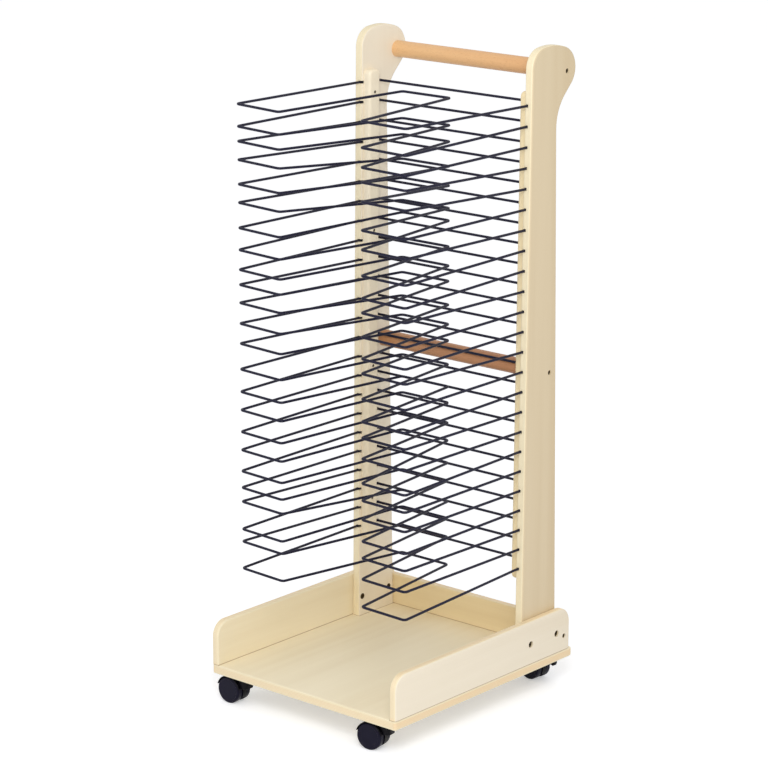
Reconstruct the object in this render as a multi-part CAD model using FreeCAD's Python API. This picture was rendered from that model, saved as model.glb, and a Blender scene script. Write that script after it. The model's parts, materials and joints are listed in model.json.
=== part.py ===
"""Art drying rack: a plywood tray on casters, two posts and twenty-four forked wire shelves.

Row frame: +X to the rack's right, +Y to its rear, +Z up. The origin is on the floor under the
middle of the whole rack. All sizes are in millimetres.
"""
import FreeCAD, Part
import math
import os
from FreeCAD import Vector

# ---------------------------------------------------------------- tray
board_width = 460.0
board_depth = 525.0
board_thickness = 18.0
board_corner_radius = 5.0
board_underside = 57.5           # height above the floor
board_edge_round = 2.5
board_tail = 8.0                 # board behind the side panels
panel_thickness = 15.0           # side panels and rear panel
side_panel_height = 86.0         # above the board
side_panel_tail = 10.0           # side panels behind the rear panel
side_corner_radius = 30.0
rear_panel_height = 62.5         # above the board
edge_round = 4.0                 # rounded edges of the panels and posts

# ---------------------------------------------------------------- posts
post_thickness = 18.0
post_foot_width = 106.0
post_height = 1178.0             # above the board
post_front_lean = 13.0           # how far the front edge runs back over the post's height
post_rear_lean = 22.0            # how far the rear edge runs forward over the post's height
knob_overhang = 58.0             # knob's rearmost point behind the line of the post's rear edge
knob_rear_round = 42.5
knob_front_round = 38.0
crown_radius = 130.0             # the domed top of the knob
crown_peak = 56.0                # the dome's highest point behind the post's front edge
crown_front_slope = 0.12         # rise over run where the dome meets the front round
crown_rear_slope = 0.27          # fall over run where the dome meets the rear round
flare_slope = 1.0                # rise over run of the flare under the knob
flare_round = 85.0               # hollow curve under the knob

# ---------------------------------------------------------------- bars
bar_diameter = 32.0
handle_drop = 52.0               # from the post's top to the handle bar's centre
handle_inset = 27.0              # from the knob's rearmost point to the handle bar's centre
stretcher_height = 560.0         # centre of the middle stretcher above the board
stretcher_inset = 20.5           # centre of the middle stretcher from the post's rear edge

# ---------------------------------------------------------------- shelves
wire_diameter = 5.0
wire_bend_radius = 7.0           # centreline
wire_set_radius = 70.0           # soft bend where a finger rises or falls in front of the post
shelf_pitch = 38.5
first_shelf_drop = 105.2         # from the post's top to the first shelf
shelf_depth = 384.5              # fingertips to rear cross wire, centrelines
cross_wire_inset = 56.5          # cross wires behind the post's front edge at the foot
finger_width = 104.0             # outer wire to inner wire at the front
link_width = 116.0               # between the fingers at the rear
link_depth = 296.0               # fingertips to the link wire
groove_depth = 8.6
groove_clearance = 0.3           # on each side of the wire
left_finger_twist = 3.3          # outer corner above the inner corner
right_finger_twist = 2.0         # inner corner above the outer corner
# Rise of the left fingertip, the right fingertip and the link of each shelf, from the top
# shelf down, as the wires are bent in use.
shelf_bends = [
    (1, 5, 4), (-2, -4, -8), (9, -1, 0), (13, 11, -8), (6, 14, -6), (10, 1, -10),
    (1, 4, 5), (-2, -5, -6), (-1, -8, -4), (9, 4, 5), (13, -2, -2), (12, -4, -1),
    (12, 7, 6), (1, -2, -2), (-4, -6, -7), (-1, 2, 0), (-5, 1, -1), (-2, -7, 3),
    (-5, -1, -3), (1, 1, 0), (12, -2, -3), (-4, 4, 2), (10, 2, 3), (-5, -13, -14),
]

# ---------------------------------------------------------------- clamp strips
strip_width = 31.0
strip_thickness = 16.0
strip_setback = 5.0              # behind the post's front edge
strip_overhang = 24.0            # past the first and the last shelf
strip_corner_radius = 10.0
strip_edge_round = 6.0
strip_screw_count = 4            # in each strip
shelves_per_strip_screw = 7      # from one strip screw to the next

# ---------------------------------------------------------------- fasteners
screw_shank_diameter = 4.0
screw_head_diameter = 9.4        # in the bars, the panels and the board
screw_sink = 2.0                 # heads lie this far below the wood's face
small_head_diameter = 6.6        # in the clamp strips and the caster plates
small_screw_sink = 1.2
screw_fit = 0.05                 # radial clearance around every shank, nut and recess
bar_screw_length = 50.0
strip_screw_length = 28.0
panel_screw_length = 45.0
panel_screw_height = 29.0        # above the board
base_screw_length = 45.0
base_screw_margin = 45.0         # from a panel's ends
bolt_diameter = 6.0
bolt_head_diameter = 12.4
bolt_head_height = 3.4
bolt_head_fit = 0.3              # radial clearance of the counterbore round the head
bolt_recess = 3.0                # head below the panel's outer face
bolt_height = 39.5               # above the board
bolt_front_inset = 10.0          # from the post's front edge
bolt_rear_inset = 15.0           # from the post's rear edge
nut_diameter = 8.2
nut_head_diameter = 12.0
nut_head_height = 2.0
nut_length = 22.0
nut_wall = 1.0

# ---------------------------------------------------------------- casters
caster_side_inset = 52.0         # swivel axis from the board's side edge
caster_front_inset = 30.0        # swivel axis from the board's front edge
caster_rear_inset = 22.5         # swivel axis from the board's rear edge
caster_trail = 23.0
wheel_radius = 26.0
wheel_width = 13.0
wheel_gap = 11.0                 # between the two wheels
wheel_shoulder = 3.5
axle_radius = 3.0
axle_end_cover = 3.0             # wheel material outside each axle end
plate_size = 42.0
plate_thickness = 2.5
plate_screw_inset = 6.0
caster_screw_length = 14.0
king_pin_radius = 3.2
king_pin_length = 22.0
running_fit = 0.05               # radial clearance of shafts that turn
housing_top_gap = 0.5
hood_clearance = 0.8             # between wheel and hood
hood_thickness = 1.7
hood_tail_angle = 17.0           # degrees above level where the hood ends behind the wheels
web_side_gap = 0.5               # between the housing's web and each wheel
hood_nose_angle = 14.0           # degrees above level where the hood starts at the nose
web_bottom = 12.5                # above the floor
axle_cover = 6.0                 # web below the axle's middle, behind the axle
boss_floor = 2.0                 # under the king pin
boss_radius = 4.6
collar_radius = 8.5              # round the king pin, just under the plate
collar_height = 6.5
moulded_edge = 1.2               # rounding of the hood's and the nose's outer edges
nose_length = 18.0               # from the swivel axis
nose_width = 26.0
nose_height = 21.0
nose_corner_radius = 8.0
lever_reach = 34.0               # from the swivel axis to the pedal's tip
lever_width = 13.0
lever_corner_radius = 5.0
lever_thickness = 3.0
lever_side_gap = 0.5
lever_heel_gap = 1.0             # between the lever's heel and the slot's end
lever_pin_radius = 1.6
lever_pin_cover = 1.0            # nose material outside each end of the pin
lever_pivot_reach = 13.5         # from the swivel axis
# Which way each nose points at rest, in degrees from +X.
caster_headings = {"front_left": 2.0, "front_right": 9.0, "rear_left": 6.0, "rear_right": -6.0}
braked_casters = ("rear_left", "rear_right")

# ---------------------------------------------------------------- levels and faces
side_panel_depth = board_depth - board_tail
post_setback = side_panel_depth - side_panel_tail - panel_thickness - post_foot_width
post_foot_rear = post_setback + post_foot_width
knob_reach = post_foot_rear - post_rear_lean + knob_overhang
board_front = -knob_reach / 2
board_top = board_underside + board_thickness
post_top = board_top + post_height
panel_inner_x = board_width / 2 - panel_thickness
post_inner_x = panel_inner_x - post_thickness
first_shelf_z = post_top - first_shelf_drop
shelf_count = len(shelf_bends)
wire_radius = wire_diameter / 2
shelf_side_x = post_inner_x + groove_depth - groove_clearance - wire_radius
groove_width = wire_diameter + 2 * groove_clearance
cross_wire_y = board_front + post_setback + cross_wire_inset
fingertip_y = cross_wire_y - shelf_depth


def shelf_z(index):
    """Height of a shelf's grooves, counted from 0 at the top."""
    return first_shelf_z - index * shelf_pitch


def post_front_y(z):
    """Front edge of a post at height z."""
    return board_front + post_setback + post_front_lean * (z - board_top) / post_height


def post_rear_y(z):
    """Rear edge of a post below its knob, at height z."""
    return board_front + post_foot_rear - post_rear_lean * (z - board_top) / post_height


# ================================================================ helpers
def export(name, *solids):
    """Write one node: a single solid, or a group of separate ones."""
    shape = solids[0] if len(solids) == 1 else Part.makeCompound(list(solids))
    shape.exportStep(os.path.join("parts", name + ".step"))


def block(x0, x1, y0, y1, z0, z1):
    """Box between two corners."""
    return Part.makeBox(x1 - x0, y1 - y0, z1 - z0, Vector(x0, y0, z0))


def rod(start, end, radius):
    """Cylinder from one point to another."""
    direction = end - start
    return Part.makeCylinder(radius, direction.Length, start, direction)


def rounded_corner(before, corner, after, radius):
    """Tangent arc that rounds a corner, or None where there is nothing to round."""
    back = (before - corner).normalize()
    ahead = (after - corner).normalize()
    half = back.getAngle(ahead) / 2
    if radius == 0 or math.cos(half) < 1e-6:
        return None
    inward = (back + ahead).normalize()
    centre = corner + inward * (radius / math.sin(half))
    tangent = radius / math.tan(half)
    return Part.Arc(corner + back * tangent, centre - inward * radius, corner + ahead * tangent)


def rounded_line(points, closed=False):
    """Wire through (position, radius) points, each corner rounded by its radius."""
    count = len(points)
    places = []
    arcs = []
    for i, (corner, radius) in enumerate(points):
        if not closed and i in (0, count - 1):
            radius = 0
        arc = rounded_corner(points[i - 1][0], corner, points[(i + 1) % count][0], radius)
        arcs.append(arc)
        places.append((corner, corner) if arc is None else (arc.StartPoint, arc.EndPoint))
    edges = []
    for i in range(count if closed else count - 1):
        after = (i + 1) % count
        edges.append(Part.LineSegment(places[i][1], places[after][0]).toShape())
        if arcs[after] is not None:
            edges.append(arcs[after].toShape())
    return Part.Wire(edges)


def side_plate(outline, x0, thickness):
    """Plate parallel to the YZ plane, from an outline of (y, z, corner radius)."""
    points = [(Vector(x0, y, z), radius) for y, z, radius in outline]
    face = Part.Face(rounded_line(points, closed=True))
    return face.extrude(Vector(thickness, 0, 0))


def soften(solid, radius, keeps):
    """Round the edges of a solid for which keeps(edge) is true."""
    edges = [edge for edge in solid.Edges if keeps(edge)]
    return solid.makeFillet(radius, edges)


def lies_at_x(edge, x):
    """True if an edge lies in the plane at x."""
    box = edge.BoundBox
    return abs(box.XMin - x) < 1e-6 and abs(box.XMax - x) < 1e-6


def mirrored(solid):
    """Copy of a solid on the rack's other side."""
    return solid.mirror(Vector(0, 0, 0), Vector(1, 0, 0))


def countersunk_screw(face, direction, length, head=screw_head_diameter, sink=screw_sink):
    """Wood screw with a countersunk head, the head's flat side sink below the given face."""
    head_radius = head / 2
    shank_radius = screw_shank_diameter / 2
    seat = face + direction * sink
    cone = Part.makeCone(head_radius, shank_radius, head_radius - shank_radius, seat, direction)
    shank = Part.makeCylinder(shank_radius, length, seat, direction)
    return cone.fuse(shank).removeSplitter()


def screw_hole(face, direction, length, head=screw_head_diameter, sink=screw_sink):
    """Counterbore, countersink and pilot hole of a wood screw."""
    head_radius = head / 2 + screw_fit
    shank_radius = screw_shank_diameter / 2 + screw_fit
    seat = face + direction * sink
    hole = Part.makeCone(head_radius, shank_radius, head_radius - shank_radius, seat, direction)
    hole = hole.fuse(Part.makeCylinder(shank_radius, length + screw_fit, seat, direction))
    if sink > 0:
        hole = hole.fuse(Part.makeCylinder(head_radius, sink, face, direction))
    return hole


# ================================================================ places of the fasteners
def bolt_places():
    """(y, z) of the two connector bolts of a side."""
    z = board_top + bolt_height
    return [(post_front_y(z) + bolt_front_inset, z), (post_rear_y(z) - bolt_rear_inset, z)]


def strip_screw_places():
    """(y, z) of the screws of a clamp strip."""
    places = []
    for screw in range(strip_screw_count):
        z = shelf_z(screw * shelves_per_strip_screw) - shelf_pitch / 2
        places.append((post_front_y(z) + strip_setback + strip_width / 2, z))
    return places


def rear_panel_middle_y():
    """Middle plane of the rear panel."""
    return board_front + post_foot_rear + panel_thickness / 2


def base_screw_places():
    """(x, y) of the screws that come up through the board."""
    side_x = board_width / 2 - panel_thickness / 2
    panel_front = board_front + base_screw_margin
    panel_rear = board_front + side_panel_depth - base_screw_margin
    rows = [panel_front, (panel_front + panel_rear) / 2, panel_rear]
    places = [(side * side_x, y) for side in (-1, 1) for y in rows]
    rear_x = panel_inner_x - post_thickness - base_screw_margin
    places += [(side * rear_x, rear_panel_middle_y()) for side in (-1, 1)]
    return places


def handle_centre():
    """(y, z) of the handle bar's axis."""
    return board_front + knob_reach - handle_inset, post_top - handle_drop


def stretcher_centre():
    """(y, z) of the middle stretcher's axis."""
    z = board_top + stretcher_height
    return post_rear_y(z) - stretcher_inset, z


def caster_places():
    """Name, x and y of each swivel axis."""
    x = board_width / 2 - caster_side_inset
    front = board_front + caster_front_inset
    rear = board_front + board_depth - caster_rear_inset
    return [
        ("front_left", -x, front), ("front_right", x, front),
        ("rear_left", -x, rear), ("rear_right", x, rear),
    ]


def plate_screw_places():
    """(x, y) of the screws of all caster plates."""
    reach = plate_size / 2 - plate_screw_inset
    places = []
    for _, x, y in caster_places():
        places += [(x + i * reach, y + j * reach) for i in (-1, 1) for j in (-1, 1)]
    return places


# ================================================================ tray
def base_board():
    """Tray floor with rounded corners and arrises."""
    half = board_width / 2
    board = block(-half, half, board_front, board_front + board_depth, board_underside, board_top)
    board = soften(board, board_corner_radius, lambda e: e.BoundBox.ZLength > board_thickness / 2)
    board = soften(board, board_edge_round, lambda e: e.BoundBox.ZLength < 1e-6)
    for x, y in base_screw_places():
        board = board.cut(screw_hole(Vector(x, y, board_underside), Vector(0, 0, 1), base_screw_length))
    for x, y in plate_screw_places():
        face = Vector(x, y, board_underside - plate_thickness)
        board = board.cut(screw_hole(face, Vector(0, 0, 1), caster_screw_length, small_head_diameter, 0))
    return board


def side_panel(side):
    """Tray side: -1 is the left one, 1 the right one."""
    rear = board_front + side_panel_depth
    top = board_top + side_panel_height
    outline = [
        (board_front, board_top, 0), (rear, board_top, 0),
        (rear, top, side_corner_radius), (board_front, top, side_corner_radius),
    ]
    panel = side_plate(outline, panel_inner_x, panel_thickness)
    outer_x = board_width / 2
    panel = soften(panel, edge_round, lambda e: e.BoundBox.ZMax > board_top + 1e-6
                   and (lies_at_x(e, panel_inner_x) or lies_at_x(e, outer_x)))
    inward = Vector(-1, 0, 0)
    for y, z in bolt_places():
        head = Part.makeCylinder(bolt_head_diameter / 2 + bolt_head_fit, bolt_recess + bolt_head_height,
                                 Vector(outer_x, y, z), inward)
        body = Part.makeCylinder(nut_diameter / 2 + screw_fit, panel_thickness,
                                 Vector(outer_x, y, z), inward)
        panel = panel.cut(head).cut(body)
    panel = panel.cut(screw_hole(panel_screw_face(1), inward, panel_screw_length))
    middle_x = board_width / 2 - panel_thickness / 2
    for x, y in base_screw_places():
        if abs(x - middle_x) < 1e-6:
            panel = panel.cut(screw_hole(Vector(x, y, board_underside), Vector(0, 0, 1), base_screw_length))
    return panel if side > 0 else mirrored(panel)


def panel_screw_face(side):
    """Where the screw into the rear panel's end enters a side panel."""
    return Vector(side * board_width / 2, rear_panel_middle_y(), board_top + panel_screw_height)


def rear_panel():
    """Low panel behind the posts, between the side panels."""
    front = board_front + post_foot_rear
    panel = block(-panel_inner_x, panel_inner_x, front, front + panel_thickness,
                  board_top, board_top + rear_panel_height)
    top = board_top + rear_panel_height
    panel = soften(panel, edge_round, lambda e: e.BoundBox.ZMin > top - 1e-6
                   and e.BoundBox.XLength > 2 * panel_thickness)
    for side in (-1, 1):
        hole = screw_hole(panel_screw_face(side), Vector(-side, 0, 0), panel_screw_length)
        panel = panel.cut(hole)
    for x, y in base_screw_places():
        if abs(x) < panel_inner_x:
            panel = panel.cut(screw_hole(Vector(x, y, board_underside), Vector(0, 0, 1), base_screw_length))
    return panel


# ================================================================ posts
def crown_corner():
    """(y, z) where the dome's two end tangents meet above the knob."""
    rise = math.atan(crown_front_slope)
    fall = math.atan(crown_rear_slope)
    reach = crown_radius / math.cos((rise + fall) / 2)
    y = post_front_y(post_top) + crown_peak + reach * math.sin((fall - rise) / 2)
    z = post_top - crown_radius + reach * math.cos((fall - rise) / 2)
    return y, z


def post_outline():
    """Outline of a post in y and z, with the radius of each corner."""
    crown_y, crown_z = crown_corner()
    front_z = crown_z - crown_front_slope * (crown_y - post_front_y(crown_z))
    front_y = post_front_y(front_z)
    round_y = board_front + knob_reach - knob_rear_round
    top_z = crown_z - crown_rear_slope * (round_y - crown_y)
    round_z = top_z - knob_rear_round * math.hypot(1, crown_rear_slope)
    # The flare is the line z = flare_slope * y + flare_level, tangent to the knob's round.
    flare_level = round_z - flare_slope * round_y - knob_rear_round * math.hypot(1, flare_slope)
    rear_slope = post_rear_lean / post_height
    neck_z = (flare_slope * post_rear_y(0) + flare_level) / (1 + flare_slope * rear_slope)
    tip_y = (crown_z + crown_rear_slope * crown_y - flare_level) / (flare_slope + crown_rear_slope)
    tip_z = flare_slope * tip_y + flare_level
    return [
        (post_front_y(board_top), board_top, 0),
        (post_rear_y(board_top), board_top, 0),
        (post_rear_y(neck_z), neck_z, flare_round),
        (tip_y, tip_z, knob_rear_round),
        (crown_y, crown_z, crown_radius),
        (front_y, front_z, knob_front_round),
    ]


def strip_screw_hole(face):
    """Hole of a strip screw that enters the right clamp strip at a point of its inner face."""
    return screw_hole(face, Vector(1, 0, 0), strip_screw_length, small_head_diameter, small_screw_sink)


def groove(index):
    """Cutter for one shelf groove in the right post's inner face."""
    z = shelf_z(index)
    front = board_front
    rear = cross_wire_y + wire_radius + groove_clearance
    return block(post_inner_x - 1, post_inner_x + groove_depth, front, rear,
                 z - groove_width / 2, z + groove_width / 2)


def post(side):
    """Tapered upright with its knob: -1 is the left one, 1 the right one."""
    body = side_plate(post_outline(), post_inner_x, post_thickness)
    outer_x = post_inner_x + post_thickness
    body = soften(body, edge_round, lambda e: e.BoundBox.ZMax > board_top + 1e-6
                  and (lies_at_x(e, post_inner_x) or lies_at_x(e, outer_x)))
    cutters = [groove(i) for i in range(shelf_count)]
    for y, z in bolt_places():
        start = Vector(post_inner_x, y, z)
        cutters.append(Part.makeCylinder(nut_diameter / 2 + screw_fit, post_thickness,
                                         start, Vector(1, 0, 0)))
        cutters.append(Part.makeCylinder(nut_head_diameter / 2 + screw_fit, nut_head_height,
                                         start, Vector(1, 0, 0)))
    for y, z in strip_screw_places():
        face = Vector(post_inner_x - strip_thickness, y, z)
        cutters.append(strip_screw_hole(face))
    for y, z in (handle_centre(), stretcher_centre()):
        cutters.append(screw_hole(Vector(outer_x, y, z), Vector(-1, 0, 0), bar_screw_length))
    body = body.cut(cutters)
    return body if side > 0 else mirrored(body)


def clamp_strip(side):
    """Strip that holds the wires in their grooves, parallel to the post's front edge."""
    top = first_shelf_z + strip_overhang
    bottom = shelf_z(shelf_count - 1) - strip_overhang
    outline = []
    for z, corners in ((bottom, (0, strip_width)), (top, (strip_width, 0))):
        outline += [(post_front_y(z) + strip_setback + y, z, strip_corner_radius) for y in corners]
    inner_x = post_inner_x - strip_thickness
    strip = side_plate(outline, inner_x, strip_thickness)
    strip = soften(strip, strip_edge_round, lambda e: lies_at_x(e, inner_x))
    cutters = [strip_screw_hole(Vector(inner_x, y, z)) for y, z in strip_screw_places()]
    strip = strip.cut(cutters)
    return strip if side > 0 else mirrored(strip)


def bar(centre):
    """Round bar between the posts, with a pilot hole in each end."""
    y, z = centre
    body = rod(Vector(-post_inner_x, y, z), Vector(post_inner_x, y, z), bar_diameter / 2)
    for side in (-1, 1):
        face = Vector(side * (post_inner_x + post_thickness), y, z)
        body = body.cut(screw_hole(face, Vector(-side, 0, 0), bar_screw_length))
    return body


# ================================================================ shelves
def half_shelf(index, side, fingertip, link, twist):
    """Half of a shelf's wire loop, from the rear cross wire's middle to the link's middle."""
    z = shelf_z(index)
    outer = side * shelf_side_x
    inner = side * (shelf_side_x - finger_width)
    link_x = side * link_width / 2
    bend = wire_bend_radius
    leaves_post = post_front_y(z) - 2 * wire_diameter
    link_y = fingertip_y + link_depth
    points = [
        (Vector(0, cross_wire_y, z), 0),
        (Vector(outer, cross_wire_y, z), bend),
        (Vector(outer, leaves_post, z), wire_set_radius),
        (Vector(outer, fingertip_y, z + fingertip - side * twist / 2), bend),
        (Vector(inner, fingertip_y, z + fingertip + side * twist / 2), bend),
        (Vector(link_x, link_y, z + link), bend),
        (Vector(0, link_y, z + link), 0),
    ]
    path = rounded_line(points)
    profile = Part.Wire(Part.makeCircle(wire_radius, points[0][0], Vector(side, 0, 0)))
    return path.makePipeShell([profile], True, True)


def shelf(index):
    """One closed loop of wire with two forked fingers."""
    left_tip, right_tip, link = shelf_bends[index]
    left = half_shelf(index, -1, left_tip, link, left_finger_twist)
    right = half_shelf(index, 1, right_tip, link, right_finger_twist)
    return left.fuse(right).removeSplitter()


# ================================================================ fasteners
def panel_bolts():
    """Socket-head connector bolts through the side panels."""
    bolts = []
    socket_radius = bolt_diameter / 3
    for y, z in bolt_places():
        face = Vector(board_width / 2 - bolt_recess, y, z)
        inward = Vector(-1, 0, 0)
        head = Part.makeCylinder(bolt_head_diameter / 2, bolt_head_height, face, inward)
        reach = panel_thickness + post_thickness - bolt_recess - nut_head_height - nut_wall
        shank = Part.makeCylinder(bolt_diameter / 2, reach, face, inward)
        socket = Part.makeCylinder(socket_radius, bolt_head_height, face, inward)
        bolt = head.fuse(shank).removeSplitter().cut(socket)
        bolts += [bolt, mirrored(bolt)]
    return bolts


def sleeve_nuts():
    """Sleeve nuts whose heads lie flush in the posts' inner faces."""
    nuts = []
    for y, z in bolt_places():
        face = Vector(post_inner_x, y, z)
        outward = Vector(1, 0, 0)
        head = Part.makeCylinder(nut_head_diameter / 2, nut_head_height, face, outward)
        barrel = Part.makeCylinder(nut_diameter / 2, nut_length, face, outward)
        bore_start = face + outward * (nut_head_height + nut_wall / 2)
        bore = Part.makeCylinder(bolt_diameter / 2 + screw_fit, nut_length, bore_start, outward)
        nut = head.fuse(barrel).removeSplitter().cut(bore)
        nuts += [nut, mirrored(nut)]
    return nuts


def bar_screws():
    """Screws through the posts into the ends of the two bars."""
    screws = []
    outer_x = post_inner_x + post_thickness
    for y, z in (handle_centre(), stretcher_centre()):
        for side in (-1, 1):
            face = Vector(side * outer_x, y, z)
            screws.append(countersunk_screw(face, Vector(-side, 0, 0), bar_screw_length))
    return screws


def strip_screws():
    """Screws through the clamp strips into the posts."""
    screws = []
    inner_x = post_inner_x - strip_thickness
    for y, z in strip_screw_places():
        for side in (-1, 1):
            face = Vector(side * inner_x, y, z)
            screws.append(countersunk_screw(face, Vector(side, 0, 0), strip_screw_length,
                                            small_head_diameter, small_screw_sink))
    return screws


def rear_panel_screws():
    """Screws through the side panels into the rear panel's ends."""
    return [countersunk_screw(panel_screw_face(side), Vector(-side, 0, 0), panel_screw_length)
            for side in (-1, 1)]


def base_screws():
    """Screws up through the board into the panels."""
    return [countersunk_screw(Vector(x, y, board_underside), Vector(0, 0, 1), base_screw_length)
            for x, y in base_screw_places()]


def caster_screws():
    """Countersunk screws through the caster plates."""
    return [countersunk_screw(Vector(x, y, board_underside - plate_thickness), Vector(0, 0, 1),
                              caster_screw_length, small_head_diameter, 0)
            for x, y in plate_screw_places()]


# ================================================================ casters
# Each caster is drawn with its swivel axis at x = y = 0 and its nose towards +X.
housing_top = board_underside - plate_thickness - housing_top_gap
web_width = wheel_gap - 2 * web_side_gap
hood_inner_radius = wheel_radius + hood_clearance
hood_outer_radius = hood_inner_radius + hood_thickness
pair_width = wheel_gap + 2 * wheel_width
wheel_centre = Vector(-caster_trail, 0, wheel_radius)


def ring_sector(inner, outer, width, start_angle, end_angle):
    """Part of a drum round the axle, between two angles above level."""
    half = width / 2
    axis = Vector(0, 1, 0)
    start = wheel_centre - Vector(0, half, 0)
    drum = Part.makeCylinder(outer, width, start, axis).cut(Part.makeCylinder(inner, width, start, axis))
    reach = 2 * outer
    steps = 8
    span = end_angle - start_angle
    angles = [math.radians(start_angle + span * i / steps) for i in range(steps + 1)]
    rim = [start + Vector(reach * math.cos(a), 0, reach * math.sin(a)) for a in angles]
    sector = Part.Face(Part.makePolygon([start] + rim + [start])).extrude(Vector(0, width, 0))
    return drum.common(sector)


def caster_plate():
    """Square plate with the king pin."""
    half = plate_size / 2
    under = board_underside - plate_thickness
    plate = block(-half, half, -half, half, under, board_underside)
    plate = soften(plate, plate_screw_inset / 2, lambda e: e.BoundBox.ZLength > plate_thickness / 2)
    pin = Part.makeCylinder(king_pin_radius, king_pin_length, Vector(0, 0, under), Vector(0, 0, -1))
    plate = plate.fuse(pin)
    reach = half - plate_screw_inset
    for i in (-1, 1):
        for j in (-1, 1):
            face = Vector(i * reach, j * reach, under)
            hole = screw_hole(face, Vector(0, 0, 1), caster_screw_length, small_head_diameter, 0)
            plate = plate.cut(hole)
    return plate


def caster_housing(braked):
    """Hood over the wheels, with the web between them, the king pin's boss and the nose."""
    nose_bottom = housing_top - nose_height
    hood = ring_sector(hood_inner_radius, hood_outer_radius, pair_width,
                       hood_nose_angle, 180 - hood_tail_angle)
    web_start = wheel_centre - Vector(0, web_width / 2, 0)
    hood = soften(hood, moulded_edge, lambda e: e.BoundBox.YLength < 1e-6 and e.Length > hood_outer_radius
                  and e.Curve.Radius > hood_inner_radius + hood_thickness / 2)
    web_radius = hood_inner_radius + hood_thickness / 2
    web = Part.makeCylinder(web_radius, web_width, web_start, Vector(0, 1, 0))
    behind = -caster_trail - 2 * wheel_radius
    below = -hood_outer_radius
    web = web.cut(block(behind, -caster_trail, -wheel_gap, wheel_gap, below, wheel_radius - axle_cover))
    web = web.cut(block(behind, nose_length, -wheel_gap, wheel_gap, below, web_bottom))
    nose = block(0, nose_length, -nose_width / 2, nose_width / 2, nose_bottom, housing_top)
    nose = soften(nose, nose_corner_radius, lambda e: e.BoundBox.ZLength > nose_height / 2
                  and e.BoundBox.XMin > nose_length / 2)
    nose = soften(nose, moulded_edge, lambda e: e.BoundBox.ZMax < nose_bottom + 1e-6)
    clear_wheels = Part.makeCylinder(hood_inner_radius, pair_width,
                                     wheel_centre - Vector(0, pair_width / 2, 0), Vector(0, 1, 0))
    nose = nose.cut(clear_wheels)
    boss_foot = board_underside - plate_thickness - king_pin_length - boss_floor
    boss = Part.makeCylinder(boss_radius, housing_top - boss_foot, Vector(0, 0, boss_foot))
    collar = Part.makeCylinder(collar_radius, collar_height, Vector(0, 0, housing_top - collar_height))
    body = hood.fuse([web, nose, boss, collar])
    body = body.cut(block(behind, nose_length, -pair_width, pair_width, housing_top, board_underside))
    pin_hole = Part.makeCylinder(king_pin_radius + running_fit, housing_top - boss_foot - boss_floor / 2,
                                 Vector(0, 0, housing_top), Vector(0, 0, -1))
    axle_hole = Part.makeCylinder(axle_radius + running_fit, pair_width,
                                  wheel_centre - Vector(0, pair_width / 2, 0), Vector(0, 1, 0))
    body = body.cut(pin_hole).cut(axle_hole)
    if braked:
        body = body.cut(lever_pocket())
    return body.removeSplitter()


def lever_level():
    """Height of the brake lever's pivot."""
    return housing_top - nose_height / 2


def lever_pocket():
    """Slot and cross bore in the nose for the brake lever."""
    half = lever_width / 2 + lever_side_gap
    pivot_z = lever_level()
    heel = lever_pivot_reach - lever_thickness - lever_heel_gap
    slot = block(heel, lever_reach, -half, half, 0, board_underside)
    bore_end = nose_width / 2 - lever_pin_cover
    bore = rod(Vector(lever_pivot_reach, -bore_end, pivot_z),
               Vector(lever_pivot_reach, bore_end, pivot_z), lever_pin_radius + running_fit)
    return slot.fuse(bore)


def brake_lever():
    """Foot pedal with its cross pin in the nose."""
    pivot_z = lever_level()
    half = lever_width / 2
    arm = block(lever_pivot_reach - lever_thickness, lever_reach, -half, half,
                pivot_z - lever_thickness / 2, pivot_z + lever_thickness / 2)
    arm = soften(arm, lever_corner_radius, lambda e: e.BoundBox.ZLength > lever_thickness / 2
                 and e.BoundBox.XMin > lever_pivot_reach)
    lip_x = lever_reach - lever_corner_radius
    lip_y = half - lever_corner_radius / 2
    lip_z = pivot_z - lever_thickness
    lip = rod(Vector(lip_x, -lip_y, lip_z), Vector(lip_x, lip_y, lip_z), lever_thickness)
    pin_end = nose_width / 2 - lever_pin_cover - lever_side_gap
    pin = rod(Vector(lever_pivot_reach, -pin_end, pivot_z),
              Vector(lever_pivot_reach, pin_end, pivot_z), lever_pin_radius)
    hub = rod(Vector(lever_pivot_reach, -half, pivot_z),
              Vector(lever_pivot_reach, half, pivot_z), lever_thickness)
    return arm.fuse([lip, pin, hub]).removeSplitter()


def caster_wheel(side):
    """One wheel of a pair, with a smooth outer face and a hollow inner one."""
    inner_y = side * wheel_gap / 2
    outer_y = side * (wheel_gap / 2 + wheel_width)
    axis = Vector(0, side, 0)
    inner_face = Vector(wheel_centre.x, inner_y, wheel_centre.z)
    wheel = Part.makeCylinder(wheel_radius, wheel_width, inner_face, axis)
    wheel = soften(wheel, wheel_shoulder, lambda e: abs(e.BoundBox.YMin - outer_y) < 1e-6
                   and abs(e.BoundBox.YMax - outer_y) < 1e-6)
    hub_radius = 2.2 * axle_radius
    hollow = Part.makeCylinder(wheel_radius - wheel_shoulder, wheel_width / 2, inner_face, axis)
    hub = Part.makeCylinder(hub_radius, wheel_width / 2, inner_face, axis)
    wheel = wheel.cut(hollow.cut(hub))
    bore = Part.makeCylinder(axle_radius + screw_fit, wheel_width - axle_end_cover + screw_fit,
                             inner_face, axis)
    return wheel.cut(bore)


def caster_axle():
    """Axle through the housing's web into both wheels."""
    half = wheel_gap / 2 + wheel_width - axle_end_cover
    return rod(wheel_centre - Vector(0, half, 0), wheel_centre + Vector(0, half, 0), axle_radius)


def placed(solid, x, y, heading):
    """Caster piece turned to its heading and moved to its swivel axis."""
    copy = solid.copy()
    copy.rotate(Vector(0, 0, 0), Vector(0, 0, 1), heading)
    copy.translate(Vector(x, y, 0))
    return copy


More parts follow.
